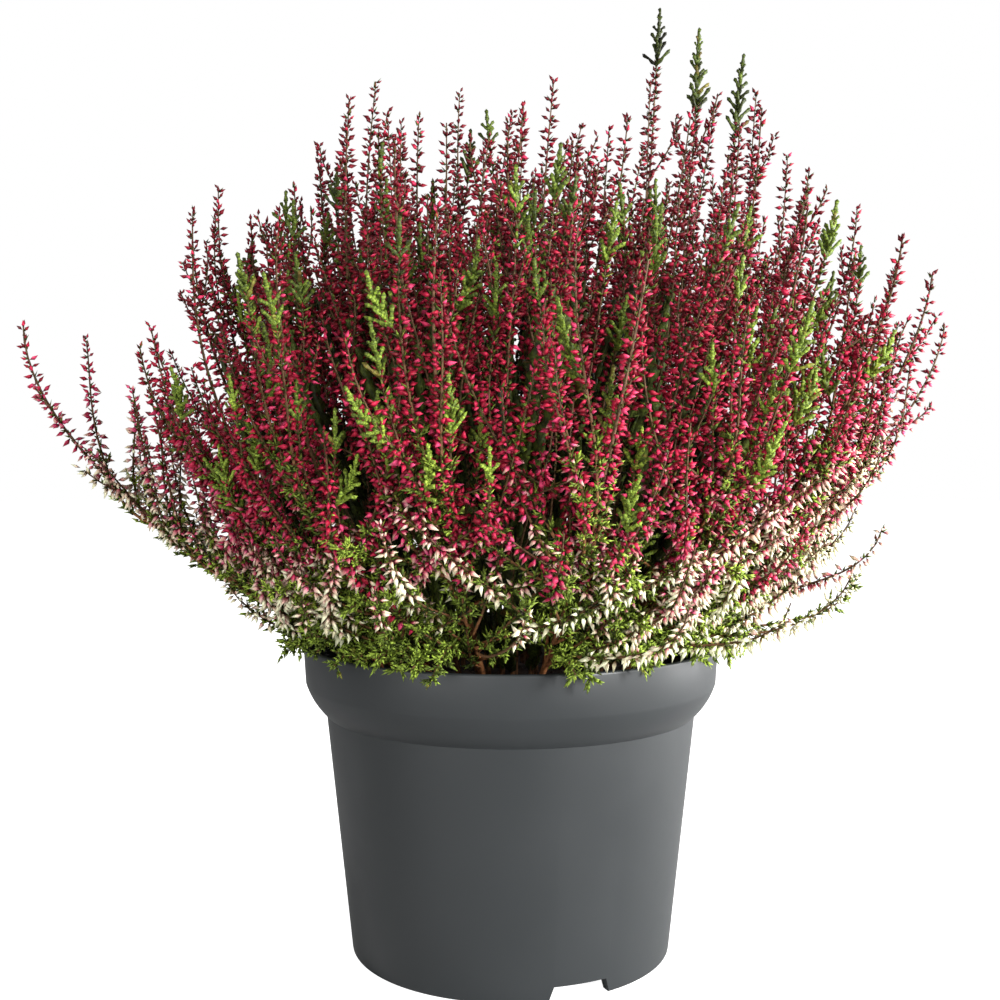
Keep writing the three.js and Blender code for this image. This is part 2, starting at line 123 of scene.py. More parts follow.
# ---- What the plain solids leave out: shoots ----
COMPANIONS, OUTER_COMPANIONS, LEFT_COMPANIONS = 3, 5, 7  # added shoots of an upright branch
OUTER_RHO = 0.42  # past this in the crown's disc a branch shows down its face
LEFT_SIDE = -0.6  # and past this to -X it shows most
LEFT_EDGE = -0.85  # no added shoot starts further to -X than this
COMPANION_OFFSETS = (0.06, 0.12)
INNER_SHOOTS = 6  # leafy ones in each upright branch, their colour dark as painted shade inside the bush
EXTRA_SPRAYS = [
    (0.04, -0.11, 84, 136, 0), (0.05, 0.09, 88, 146, 0), (0.06, 0.44, 98, 142, 0), (0.07, -0.42, 101, 147, 0),
    (0.08, 0.3, 96, 158, 0), (0.1, -0.32, 94, 148, 0), (0.12, 0.15, 100, 162, 0), (0.14, 0.0, 103, 170, 0),
    (0.18, 0.1, 107, 178, 0), (0.2, -0.08, 110, 186, 0), (0.24, -0.2, 115, 183, 0),
    (0.26, 0.28, 117, 196, 0.1), (0.3, -0.3, 116, 204, 0.1), (0.3, 0.04, 119, 193, 0.1),
    (0.34, -0.12, 120, 201, 0.1), (0.36, 0.05, 124, 216, 0.1), (0.4, -0.06, 121, 226, 0.1),
    (0.1, 0.7, 99, 143, 0), (0.15, -0.62, 104, 152, 0), (0.2, 0.85, 108, 166, 0), (0.26, -0.8, 112, 178, 0),
]
LOW_SIDE_HEIGHT = 185  # an added spray ends no higher than this at the -X side
LEAF_LINE = (107, 131)  # a low spray is leafy up to a height between these,
SIDE_LEAF_RISE = 6  # and up to this much higher at the -X side, and lower at the other
HANGING_SHARE = 0.36  # of the low sprays flower down to the rim
SPRAY_BARE_SHARE = 0.12  # of a spray, at its foot
LAST_BUDS = 12  # the least length of a spray that flowers
RIM_SPRAYS = 12  # leafy ones of each fringe branch
DRAPING_SHARE = 0.32  # of the rim's sprays hang over it
GAP_AZIMUTH = math.radians(-95)  # at the front the leafy sprays leave the soil open to view
GAP_HALF_WIDTH = math.radians(12)
GAP_HEIGHT = 150  # no added spray that ends below this stands in the gap,
GAP_BARE_HEIGHT = 127  # and the others there are bare up to this

# ---- Side shoots and leafy ends ----
UPRIGHT_LEAFY_SIDE, LOW_LEAFY_SIDE = 0.15, 0.25  # how many shoots have a leafy side shoot,
LEAFY_SIDE_WIDTH, LOW_LEAFY_WIDTH = 90, 110  # and how far to the side it may stand
LEAFY_TIP_SHARE, HIGH_LEAFY_TIP_SHARE, LOW_LEAFY_TIP_SHARE = 0.62, 0.15, 0.3
TIP_SIDE_WIDTH = 100  # no low shoot that ends further to the side has a leafy tip,
LEAFY_FROM = 160  # and no low spray that ends below this,
LEAFY_SWING = 0.35  # or swings wider than this
# the brightness of leaves by the height of a shoot's end: painted shade at the crown's top, painted light
# lower down
TIP_HEIGHTS, TIP_PAINTED_LIGHT, TIP_STRAY = (160, 235, 290), (0.67, 0.41, 0.18), 0.15
BUDDING_REACH, LEAFY_REACH = (14, 26), (18, 27)  # of a side shoot
CLUB_STEP, CLUB_WIDTHS = 1.65, (0.6, 1)
CLUB_LEAN, CLUB_TILT = 40, 7  # degrees

# ---- Buds and leaves ----
BUD_STEP = 1.45
PAIR_STRAY, LEAF_STRAY = 0.3, 0.4  # radians round the stem
BUD_RISE, PALE_FALL, YOUNG_RISE = 16, 34, 58  # degrees
YOUNG_LENGTH = 16  # the buds of a shoot's last stretch are small and point up
PALE_DROOP, LOW_HEIGHTS, LOW_DROOP = 0.25, (150, 205), (0.45, 0)
PAINTED_SHADE_HEIGHTS, PAINTED_SHADE_POWERS = (190, 240, 290), (0.68, 3.9, 7)  # the buds' colour is darkened with height as painted shade, darkest at the top of the crown, and lightened in the band below as painted light
PALE_HEIGHT, PALE_DEPTH = 160, 62  # buds turn pale below this, and are palest this far below it
PALE_SIDE_RISE = 36  # the turn lies up to this much higher at the sides,
PALE_SIDE, PALE_SIDE_WIDTH = 86, 34  # from this far out, and over this width
LEAF_LIFTS, LEAF_SIZES = (0.4, 1.4), (1.1, 1.7)
TWIG_LEAVES = 6  # on a mossy twig
TWIG_LEANS = (32, 68)
SCALE_ROWS = 5  # of a branchlet's leaves, from its foot to its tip

# ---- Stems ----
STEM_STEP = 5
TUBE_SIDES = 3
LEAFY_RING_STEP = 2.6
LINE_POINTS = 40
PAIR_WOBBLE, COMPANION_WOBBLE, INNER_WOBBLE, FRINGE_WOBBLE, SPRAY_WOBBLE = 2, 3.6, 3, 0.9, 1.4
# the radius and the age of a stem, each at its foot and at its tip
FORKING_STEM, UPRIGHT_STEM = ((1.1, 0.22), (0.6, 0)), ((0.5, 0.22), (0.4, 0))
SIDE_STEM, RIM_STEM = ((0.4, 0.25), (0.2, 0)), ((0.6, 0.3), (1, 0.4))
FRINGE_STEM, SPRAY_STEM = ((1.3, 0.3), (1, 0)), ((0.6, 0.25), (0.9, 0.1))
BUDS, LEAVES, STEMS = 0, 1, 2


def make_draw(seed):
    """The same draws for the same seed: the Park-Miller generator."""
    state = seed

    def draw():
        nonlocal state
        state = state * 16807 % 2147483647
        return state / 2147483647

    return draw


def unit(vectors):
    return vectors / np.maximum(np.linalg.norm(vectors, axis=-1, keepdims=True), 1e-9)


def mix(low, high, share):
    return low + (high - low) * share


# ---- Shapes that repeat, each modelled once, foot at the origin and point up, in millimetres ----
class Shape:
    """Corners and triangles, and how far up each corner lies: 1 is past all the rows of leaves."""

    def __init__(self, corners, faces, rows=SCALE_ROWS):
        self.corners, self.faces = corners, faces
        self.length = corners[:, 2].max()
        self.along = corners[:, 2] / self.length * rows / SCALE_ROWS


def edited_mesh():
    return bmesh.from_edit_mesh(bpy.context.object.data)


def select_height(low, high):
    """Selects the corners of the mesh in edit mode that lie between two heights, and nothing else."""
    bpy.ops.mesh.select_all(action="DESELECT")
    mesh = edited_mesh()
    for vert in mesh.verts:
        if low <= vert.co.z <= high:
            vert.select_set(True)
    mesh.select_flush(True)
    bmesh.update_edit_mesh(bpy.context.object.data)


def begin(add, **sizes):
    """Adds a primitive with nothing else selected, and starts to edit it."""
    bpy.ops.object.select_all(action="DESELECT")
    add(**sizes)
    bpy.ops.object.mode_set(mode="EDIT")
    bpy.ops.mesh.select_all(action="SELECT")


def take_shape(rows=SCALE_ROWS):
    """Ends the edit of a shape that repeats, and gives it as corners and triangles."""
    bpy.ops.mesh.select_all(action="SELECT")
    bpy.ops.mesh.quads_convert_to_tris()
    bpy.ops.mesh.normals_make_consistent(inside=False)
    bpy.ops.object.mode_set(mode="OBJECT")
    made = bpy.context.object
    corners = np.array([vert.co for vert in made.data.vertices])
    faces = np.array([face.vertices for face in made.data.polygons])
    bpy.data.objects.remove(made)
    return Shape(corners, faces, rows)


def draw_to_point(rise):
    """Raises what is selected and closes it in one point."""
    bpy.ops.mesh.extrude_region_move(TRANSFORM_OT_translate={"value": (0, 0, rise)})
    bpy.ops.mesh.merge(type="CENTER")


def model_bud(radius=0.8, widest=1.6, point=1.9):
    """A pointed foot that stands for the stalk, the widest ring above it, and a pointed end."""
    begin(bpy.ops.mesh.primitive_cone_add, vertices=3, radius1=0, radius2=radius, depth=widest,
          end_fill_type="NGON")
    bpy.ops.transform.translate(value=(0, 0, widest / 2))
    select_height(widest * 0.9, widest * 1.1)
    draw_to_point(point)
    return take_shape()


def model_bract(radius=0.5, length=2, flatness=0.6):
    """A small pointed leaf."""
    begin(bpy.ops.mesh.primitive_cone_add, vertices=3, radius1=radius, radius2=0, depth=length)
    bpy.ops.transform.translate(value=(0, 0, length / 2))
    bpy.ops.transform.resize(value=(1, flatness, 1), center_override=(0, 0, 0))
    return take_shape(rows=0.95)


def model_branchlet(rings, foot=0.5, point=0.6):
    """Rings of three, wide and narrow and turned half a side from each other, stand for its scale leaves."""
    begin(bpy.ops.mesh.primitive_circle_add, vertices=3, radius=foot, fill_type="NGON")
    for radius, rise in rings:
        bpy.ops.mesh.extrude_region_move(TRANSFORM_OT_translate={"value": (0, 0, rise)})
        corner = next(vert.co for vert in edited_mesh().verts if vert.select)
        growth = radius / abs(complex(corner.x, corner.y))
        bpy.ops.transform.resize(value=(growth, growth, 1), center_override=(0, 0, 0))
        bpy.ops.transform.rotate(value=math.pi / 3, orient_axis="Z", center_override=(0, 0, 0))
    draw_to_point(point)
    return take_shape()


def model_crumb(roughness=0.35):
    begin(bpy.ops.mesh.primitive_ico_sphere_add, subdivisions=1, radius=1)
    bpy.ops.transform.vertex_random(offset=roughness, seed=4)
    bpy.ops.transform.translate(value=(0, 0, 1))
    return take_shape()


BUD, BRACT, CRUMB = model_bud(), model_bract(), model_crumb()
TWIG = model_branchlet(rings=[(0.85, 1.1), (0.5, 1.0), (0.8, 1.2)])  # radius, and rise from the last ring


# ---- A piece that is gathered from many copies ----
class Gathered:
    """Small closed meshes that become one piece. A corner's three tones are how pale, bright or old it is,
    how far up its bud or leaf it lies, and its shade; brightness and a bud's shade also carry painted light
    and shade by height."""

    def __init__(self):
        self.corners, self.faces, self.tones, self.finishes = [], [], [], []
        self.count = 0

    def add_mesh(self, corners, faces, tones, finish):
        self.corners.append(corners)
        self.faces.append(faces + self.count)
        self.tones.append(tones)
        self.finishes.append(np.full(len(faces), finish))
        self.count += len(corners)

    def add_copies(self, shape, feet, headings, sizes, tones, finish, random):
        """Copies of a shape, each with its foot, heading, (width, length) and (paleness, shade)."""
        count = len(feet)
        if not count:
            return
        widths, lengths = sizes[:, :1], sizes[:, 1:]
        side = unit(np.cross(headings, unit(random.normal(size=(count, 3)))))
        turns = np.stack([side * widths, np.cross(headings, side) * widths, headings * lengths], axis=2)
        corners = np.einsum("nij,vj->nvi", turns, shape.corners) + feet[:, None]
        faces = shape.faces[None] + (np.arange(count) * len(shape.corners))[:, None, None]
        colours = np.empty((count, len(shape.corners), 3))
        colours[:, :, 0] = tones[:, :1]
        colours[:, :, 1] = shape.along
        colours[:, :, 2] = tones[:, 1:]
        self.add_mesh(corners.reshape(-1, 3), faces.reshape(-1, 3), colours.reshape(-1, 3), finish)

    def add_tube(self, shoot, distances, radii, twist, tones, finish):
        """A closed tube along a shoot, with a ring at each distance, turned by the twist from the last."""
        rings, sides = len(distances), TUBE_SIDES
        _, across, aside = shoot.frames(distances)
        angles = np.arange(sides) * FULL_TURN / sides + np.arange(rings)[:, None] * twist
        out = across[:, None] * np.cos(angles)[:, :, None] + aside[:, None] * np.sin(angles)[:, :, None]
        walls = (shoot.at(distances)[:, None] + out * radii[:, :, None]).reshape(-1, 3)
        corners = np.concatenate([walls, shoot.at(distances[[0, -1]])])
        ring, k = np.meshgrid(np.arange(rings - 1), np.arange(sides), indexing="ij")
        a, b = ring * sides + k, ring * sides + (k + 1) % sides
        walls = np.stack([a, b, a + sides, b, b + sides, a + sides], axis=-1).reshape(-1, 3)
        low, k = rings * sides, np.arange(sides)
        foot = np.stack([np.full(sides, low), (k + 1) % sides, k], axis=-1)
        last = low - sides
        tip = np.stack([np.full(sides, low + 1), last + k, last + (k + 1) % sides], axis=-1)
        colours = np.concatenate([np.repeat(tones, sides, axis=0), tones[[0, -1]]])
        self.add_mesh(corners, np.concatenate([walls, foot, tip]), colours, finish)

    def add_stem(self, shoot, radii, ages):
        """A stem from a shoot's foot to a millimetre below its tip, with radius and age at both."""
        end = shoot.length - 1
        rings = max(2, int(end / STEM_STEP) + 1)
        tones = np.stack([np.linspace(*ages, rings), np.full(rings, 0.5), np.full(rings, 0.5)], axis=1)
        self.add_tube(shoot, np.linspace(0, end, rings), np.linspace(*radii, rings)[:, None], 0, tones, STEMS)

    def add_leafy_stem(self, shoot, width, bright, random):
        """A stem inside the bush, rough with leaves: wide and narrow rings, each turned half a side."""
        rings = max(4, int(shoot.length / LEAFY_RING_STEP))
        wide = np.arange(rings) % 2
        radii = np.where(wide, width, width * 0.5)[:, None]
        radii = radii * random.uniform(0.4, 1.5, (rings, TUBE_SIDES))
        leaf = np.where(wide, 0.19, 0.02)  # just below a scale leaf's tip, and at its foot, so the wide rings take the painted highlight and the narrow ones the painted shade
        tones = np.stack([np.full(rings, bright), leaf, random.uniform(size=rings)], axis=1)
        distances = np.linspace(0, shoot.length, rings)
        self.add_tube(shoot, distances, radii, math.pi / TUBE_SIDES, tones, LEAVES)

    def to_piece(self, name, finishes):
        corners, faces = np.concatenate(self.corners) * MILLIMETRE, np.concatenate(self.faces)
        mesh = bpy.data.meshes.new(name)
        mesh.vertices.add(len(corners))
        mesh.vertices.foreach_set("co", corners.astype(np.float32).ravel())
        mesh.loops.add(faces.size)
        mesh.loops.foreach_set("vertex_index", faces.astype(np.int32).ravel())
        mesh.polygons.add(len(faces))
        mesh.polygons.foreach_set("loop_start", np.arange(0, faces.size, 3, dtype=np.int32))
        for material in finishes:
            mesh.materials.append(material)
        mesh.polygons.foreach_set("material_index", np.concatenate(self.finishes).astype(np.int32))
        tone = mesh.attributes.new("tone", "FLOAT_COLOR", "POINT")
        colours = np.concatenate(self.tones)
        colours = np.hstack([colours, np.ones((len(colours), 1))])
        tone.data.foreach_set("color", colours.astype(np.float32).ravel())
        mesh.update(calc_edges=True)
        mesh.shade_smooth()
        piece = bpy.data.objects.new(name, mesh)
        bpy.context.scene.collection.objects.link(piece)
        return piece


# ---- Centre lines ----
class Shoot:
    """A centre line. Its frame keeps one fixed direction across, which the line never runs along."""

    def __init__(self, points, across):
        self.points, self.across = points, np.asarray(across, float)
        self.run = np.concatenate([[0], np.cumsum(np.linalg.norm(np.diff(points, axis=0), axis=1))])
        self.length = self.run[-1]

    def at(self, distances):
        return np.stack([np.interp(distances, self.run, axis) for axis in self.points.T], axis=-1)

    def frames(self, distances):
        middle = np.clip(distances, 1, self.length - 1)
        along = unit(self.at(middle + 1) - self.at(middle - 1))
        across = unit(self.across - along * (along @ self.across)[:, None])
        return along, across, np.cross(along, across)

    def at_time(self, time, times):
        """How far up a shoot a time of its growth lies; a foot in the soil comes before the times."""
        return np.interp(time, times, self.run[-len(times):])

    def ends_within(self, width):
        """Whether its tip stands no further to the side than a width."""
        return abs(self.points[-1][0]) < width


def wobbled(points, random, size):
    """A line that strays a little, but not at its start, and less in height."""
    share = np.linspace(0, 1, len(points))[:, None]
    turns = 3.5, 8
    slow, quick = (np.sin(share * turn + random.uniform(0, FULL_TURN, 3)) for turn in turns)
    free = np.minimum(share * 2.5, 1) ** 2
    return points + (slow + 0.4 * quick) * size * free * [1, 1, 0.3]


def flow_points(place, times, shift_u=0, shift_v=0):
    arch = np.where(times < 1, 1 - np.abs(1 - times) ** SPREAD_POWER, 1)
    spread = STOOL_RADIUS + (place["radius"] - STOOL_RADIUS) * arch
    return np.stack([
        (place["u"] + shift_u) * spread + CROWN_LEAN * times**2,
        (place["v"] + shift_v) * spread,
        STOOL_HEIGHT + (place["height"] - STOOL_HEIGHT) * times,
    ], axis=-1)


def rooted(points):
    """The same line with a foot in the soil, straight below its start."""
    return np.concatenate([points[:1] * [1, 1, 0] + [0, 0, STEM_FOOT_HEIGHT], points])


def beside(place, heading, offset, times):
    parted = np.clip((times - FORK_TIME) / (PARTED_TIME - FORK_TIME), 0, 1)
    share = offset * np.sin(np.pi / 2 * parted)
    return flow_points(place, times, share * math.cos(heading), share * math.sin(heading))


def crown_place(rho, azimuth):
    u, v = rho * math.cos(azimuth), rho * math.sin(azimuth)
    return {
        "u": u, "v": v, "rho": rho, "azimuth": azimuth,
        "radius": CROWN_RADIUS * (1 + SIDE_SWELL * u / max(rho, 0.01)),
        "height": TOP_HEIGHT - SHOULDER_DROP * rho**SHOULDER_POWER,
    }


def sideways(azimuth):
    return -math.sin(azimuth), math.cos(azimuth), 0


def nearest(places, u, v):
    return min(places, key=lambda place: math.hypot(place["u"] - u, place["v"] - v))


def upright_places(draw):
    places = []
    for i in range(UPRIGHT_BRANCHES):
        place = crown_place(UPRIGHT_SHARE * math.sqrt((i + 0.5) / UPRIGHT_BRANCHES), i * GOLDEN_ANGLE)
        place.update(growth=mix(*GROWTH, draw()), leads=False)
        places.append(place)
    for u, v, growth in LEADERS:
        leader = nearest(places, u, v)
        leader.update(u=u, v=v, rho=math.hypot(u, v), growth=growth, leads=growth > LEADING_GROWTH)
    return places


def fringe_places(draw):
    places = []
    for i in range(FRINGE_BRANCHES):
        place = crown_place(FRINGE_SHARE, (i + 0.5) / FRINGE_BRANCHES * 2 * math.pi)
        place["radius"] *= mix(*FRINGE_RADIUS, draw())
        place["height"] *= mix(*FRINGE_HEIGHT, draw())
        places.append(place)
    for azimuth, radius, height in WIDEST:
        turn = math.radians(azimuth)
        place = nearest(places, FRINGE_SHARE * math.cos(turn), FRINGE_SHARE * math.sin(turn))
        place.update(radius=radius / FRINGE_SHARE, height=height)
    return places


# ---- Dressing a shoot ----
def crossed_pairs(count):
    """The turns of pairs round a stem, each pair crosswise to the last."""
    return np.repeat(np.arange(count) * np.pi / 2, 2) + np.tile([0, np.pi], count)


def around(shoot, distances, turns):
    """The way along a shoot, and the way straight out of it at each turn."""
    along, across, aside = shoot.frames(distances)
    return along, across * np.cos(turns)[:, None] + aside * np.sin(turns)[:, None]


def leaf_tones(bright, stray, count, random):
    return np.stack([bright + random.normal(0, stray, count), random.uniform(size=count)], axis=1)


def paleness(points, random):
    """Buds are crimson above and cream at the skirt, and at the sides the cream reaches higher."""
    aside = np.clip((np.abs(points[:, 0]) - PALE_SIDE) / PALE_SIDE_WIDTH, 0, 1)
    turns_at = PALE_HEIGHT + PALE_SIDE_RISE * aside + random.normal(0, 12)
    return np.clip((turns_at - points[:, 2]) / PALE_DEPTH + random.normal(0, 0.1, len(points)), 0, 1)


def add_buds(piece, shoot, start, random):
    """Pairs of buds from a start to the end of a shoot, and a small leaf at every other bud."""
    count = max(0, int((shoot.length - start) / BUD_STEP))
    nodes = start + (np.arange(count) + 0.5) * BUD_STEP
    distances = np.repeat(nodes, 2) + random.normal(0, 0.5, count * 2)
    turns = crossed_pairs(count) + random.uniform(0, FULL_TURN)
    turns += random.normal(0, PAIR_STRAY, len(turns))
    kept = random.uniform(size=len(turns)) > 0.1
    distances, turns = distances[kept], turns[kept]
    count = len(turns)
    places = shoot.at(distances)
    heights = places[:, 2]
    pale = paleness(places, random)
    young = np.clip(1 - (shoot.length - distances) / YOUNG_LENGTH, 0, 1)
    rise = mix(BUD_RISE - PALE_FALL * pale, YOUNG_RISE, young) + random.normal(0, 16, count)
    rise = np.radians(rise)[:, None]
    along, out = around(shoot, distances, turns)
    headings = out * np.cos(rise) + along * np.sin(rise)
    headings[:, 2] -= PALE_DROOP * pale + np.interp(heights, LOW_HEIGHTS, LOW_DROOP)
    headings = unit(headings)
    length = mix(1.0, 0.7, young) * random.uniform(0.8, 1.2, count) * mix(0.88, 1.3, pale)
    width = length * random.uniform(0.8, 1.1, count) * mix(1.12, 0.72, pale)
    # a bud's random shade, raised to a power that grows with height: painted shade at the crown's top,
    # painted light in the band below it
    shade = random.uniform(size=count) ** np.interp(heights, PAINTED_SHADE_HEIGHTS, PAINTED_SHADE_POWERS)
    piece.add_copies(BUD, places + headings * 0.3, headings, np.stack([width, length], axis=1),
                     np.stack([pale, shade], axis=1), BUDS, random)
    every_other = np.arange(count) % 2 == 0
    lift = unit(out + along * 1.1)[every_other]
    sizes = random.uniform(0.8, 1.2, (len(lift), 1)) * [1, 1]
    shade = shade[every_other]
    # a bract's brightness follows its bud's shade, so it carries the same painted shade by height
    tones = np.stack([0.22 + 0.3 * shade, shade], axis=1)
    piece.add_copies(BRACT, places[every_other] + lift * 0.4, lift, sizes, tones, LEAVES, random)


def paired(shoot, start, end, step, stray, random, turn=0, least=1):
    """Pairs up a stretch of a shoot: their places, and the ways along the shoot and out of it."""
    count = max(least, int((end - start) / step))
    distances = np.repeat(np.linspace(start, end, count), 2)
    turns = crossed_pairs(count) + turn + random.normal(0, stray, count * 2)
    return shoot.at(distances), *around(shoot, distances, turns)


def add_leaves(piece, shoot, start, end, step, bright, random):
    """Pairs of small leaves all up a bare stretch of a shoot."""
    places, along, out = paired(shoot, start, end, step, LEAF_STRAY, random)
    lift = unit(out + along * random.uniform(*LEAF_LIFTS))
    sizes = random.uniform(*LEAF_SIZES, (len(places), 1)) * [1, 1]
    tones = leaf_tones(bright, 0.1, len(places), random)
    piece.add_copies(BRACT, places, lift, sizes, tones, LEAVES, random)


def add_clubs(piece, shoot, start, end, lengths, bright, random):
    """Pairs of leafy branchlets up a stretch of a shoot; their lengths are at its start and its end."""
    turn = random.uniform(0, FULL_TURN)
    places, along, out = paired(shoot, start, end, CLUB_STEP, PAIR_STRAY, random, turn)
    count = len(places)
    lean = np.radians(CLUB_LEAN + random.normal(0, CLUB_TILT, count))[:, None]
    headings = out * np.sin(lean) + along * np.cos(lean)
    length = np.repeat(np.linspace(*lengths, count // 2), 2) * random.uniform(0.8, 1.15, count) / TWIG.length
    scale = np.stack([np.clip(length, *CLUB_WIDTHS), length], axis=1)
    piece.add_copies(TWIG, places, headings, scale, leaf_tones(bright, 0.08, count, random), LEAVES, random)


def add_leafy_tip(piece, shoot, length, bright, random):
    """The leafy end of a shoot: pairs of branchlets that get shorter, round a leafy middle."""
    start = max(shoot.length - length, 2)
    middles = np.linspace(start, shoot.length - 3.5, max(2, int(length / 2.8)))
    along, _, _ = shoot.frames(middles)
    scale = np.tile([1, 1.05], (len(middles), 1))
    tones = np.stack([np.full(len(middles), bright), random.uniform(size=len(middles))], axis=1)
    piece.add_copies(TWIG, shoot.at(middles), along, scale, tones, LEAVES, random)
    lengths = min(7.2, length * 0.5), 1.9
    add_clubs(piece, shoot, start + 0.5, shoot.length - 4, lengths, bright, random)
    add_leaves(piece, shoot, max(start - 9, 1), start + 1, 1.8, bright, random)


def add_mossy_twigs(piece, shoot, start, end, step, bright, random):
    """Short twigs on both sides of a stem, each a spiral of small leaves."""
    turn = random.uniform(0, FULL_TURN)
    places, along, out = paired(shoot, start, end, step, LEAF_STRAY, random, turn, least=2)
    count = len(places)
    lean = np.radians(random.uniform(*TWIG_LEANS, count))[:, None]
    headings = unit(out * np.sin(lean) + along * np.cos(lean) + [0, 0, 0.15])
    side = unit(np.cross(headings, random.normal(size=headings.shape)))
    above = np.cross(headings, side)
    rise = random.uniform(0.4, 0.9, count)
    leaf = np.arange(TWIG_LEAVES)
    spiral = (leaf * GOLDEN_ANGLE)[None, :, None]
    feet = places[:, None] + headings[:, None] * (rise[:, None] * leaf)[:, :, None]
    out = side[:, None] * np.cos(spiral) + above[:, None] * np.sin(spiral)
    lift = unit(out * np.linspace(1.1, 0.25, TWIG_LEAVES)[:, None] + headings[:, None]).reshape(-1, 3)
    tones = np.repeat(bright + random.normal(0, 0.12, count), TWIG_LEAVES)
    tones += random.normal(0, 0.08, len(lift))
    widths, lengths = random.uniform(1.2, 1.75, len(lift)), random.uniform(0.9, 1.3, len(lift))
    piece.add_copies(BRACT, feet.reshape(-1, 3), lift, np.stack([widths, lengths], axis=1),
                     np.stack([tones, random.uniform(size=len(lift))], axis=1), LEAVES, random)


def side_way(shoot, stretch, reaches, random):
    """A short shoot that leaves a stretch of another one and turns up beside it."""
    at = np.array([shoot.length * random.uniform(*stretch)])
    reach = random.uniform(*reaches)
    start = shoot.at(at)[0]
    along, across, aside = (axis[0] for axis in shoot.frames(at))
    turn = random.uniform(0, FULL_TURN)
    out = across * math.cos(turn) + aside * math.sin(turn)
    steps = np.linspace(0, 1, 10)[:, None]
    points = start + out * reach * 0.4 * np.sin(steps * np.pi / 2) + along * reach * steps
    return Shoot(points, np.cross(along, out))


def below_tip(shoot, tip):
    distances = np.linspace(0, shoot.length - tip, LINE_POINTS)
    return Shoot(shoot.at(distances), shoot.across)


def leaf_tone_and_painted_light(shoot, random):
    """Leaves are painted dark at the top of the crown as painted shade, and bright lower down as painted
    light, with a random stray of tone.
    """
    return np.interp(shoot.points[-1][2], TIP_HEIGHTS, TIP_PAINTED_LIGHT) + random.uniform(-TIP_STRAY, TIP_STRAY)


def add_spike(piece, shoot, bud_start, tip_size, stem, random):
    """A flowering shoot: stem, buds, and a leafy tip unless its size is 0."""
    piece.add_stem(shoot, *stem)
    if tip_size:
        tip = random.uniform(9, 17) * tip_size
        add_leafy_tip(piece, shoot, tip, leaf_tone_and_painted_light(shoot, random), random)
        shoot = below_tip(shoot, tip * 0.85)
    add_buds(piece, shoot, bud_start, random)


def add_budding_side(piece, shoot, stretch, random):
    """A short shoot from a stretch of a spike, all buds."""
    side = side_way(shoot, stretch, BUDDING_REACH, random)
    piece.add_stem(side, *SIDE_STEM)
    add_buds(piece, side, 3, random)


def add_leafy_side(piece, shoot, stretch, random):
    """A short shoot from a stretch of a spike, leafy, its leaves painted bright lower down and dark at the
    top of the crown as painted light and shade.
    """
    side = side_way(shoot, stretch, LEAFY_REACH, random)
    piece.add_stem(side, *SIDE_STEM)
    add_leafy_tip(piece, side, side.length * 0.8, leaf_tone_and_painted_light(side, random), random)


# ---- Upright branches ----
def companion_ways(place, turn, random):
    """Heading, offset and height of each added shoot, fewest at the middle and most at the -X side."""
    count = OUTER_COMPANIONS if place["rho"] > OUTER_RHO else COMPANIONS
    if place["u"] < LEFT_SIDE:
        count = LEFT_COMPANIONS
    kept = 0.9 if place["leads"] else 1.0
    ways = []
    for i in range(count):
        heading = turn + (i + 0.5) * 2 * math.pi / max(count, OUTER_COMPANIONS) + random.uniform(-0.3, 0.3)
        offset = random.uniform(*COMPANION_OFFSETS)
        if place["u"] + offset * math.cos(heading) < LEFT_EDGE:
            heading = math.pi - heading
        ways.append((heading, offset, kept * random.uniform(0.76, 0.97)))
    return ways


def add_inner_shoot(piece, place, across, random):
    aside = random.uniform(0.02, 0.11)
    times = np.linspace(random.uniform(0, FORK_TIME / 2), random.uniform(0.5, 0.74), LINE_POINTS)
    line = beside(place, random.uniform(0, FULL_TURN), aside, times)
    shoot = Shoot(wobbled(line, random, INNER_WOBBLE), across)
    # the low brightness of their leaves is painted shade inside the bush
    piece.add_leafy_stem(shoot, random.uniform(1.2, 2.1), random.uniform(0.03, 0.27), random)


def grow_upright(place, draw, random):
    turn = draw() * 2 * math.pi
    shorter = mix(*SECOND_SHOOT, draw())
    piece = Gathered()
    bud_time = max(PARTED_TIME, MIDDLE_BUD_TIME - EARLIER_OUTSIDE * place["rho"])
    across = sideways(place["azimuth"])
    ways = [(turn, PAIR_OFFSET, 1.0), (turn + math.pi, PAIR_OFFSET, shorter)]
    ways += companion_ways(place, turn, random)
    for i, (heading, offset, share) in enumerate(ways):
        forks = i == 0
        times = np.linspace(0 if forks else FORK_TIME, place["growth"] * share, LINE_POINTS)
        points = beside(place, heading, offset, times)
        if forks:
            points = rooted(points)
        shoot = Shoot(wobbled(points, random, PAIR_WOBBLE if i < 2 else COMPANION_WOBBLE), across)
        bud_start = shoot.at_time(bud_time * random.uniform(0.82, 0.96), times)
        tip_share = np.interp(points[-1][2], (225, 265), [LEAFY_TIP_SHARE, HIGH_LEAFY_TIP_SHARE])
        tip_size = 1.7 if forks and place["leads"] else float(random.uniform() < tip_share)
        add_spike(piece, shoot, bud_start, tip_size, FORKING_STEM if forks else UPRIGHT_STEM, random)
        fork = shoot.at_time(PARTED_TIME * 0.8, times)
        bright = random.uniform(0, 0.25)
        add_leaves(piece, shoot, fork, bud_start + 8, 2, bright, random)
        if random.uniform() < UPRIGHT_LEAFY_SIDE and abs(points[-1][0]) < LEAFY_SIDE_WIDTH:
            add_leafy_side(piece, shoot, (0.5, 0.75), random)
        for _ in range(random.integers(0, 2 + 1)):
            add_budding_side(piece, shoot, (0.55, 0.88), random)
    for _ in range(INNER_SHOOTS):
        add_inner_shoot(piece, place, across, random)
    return piece


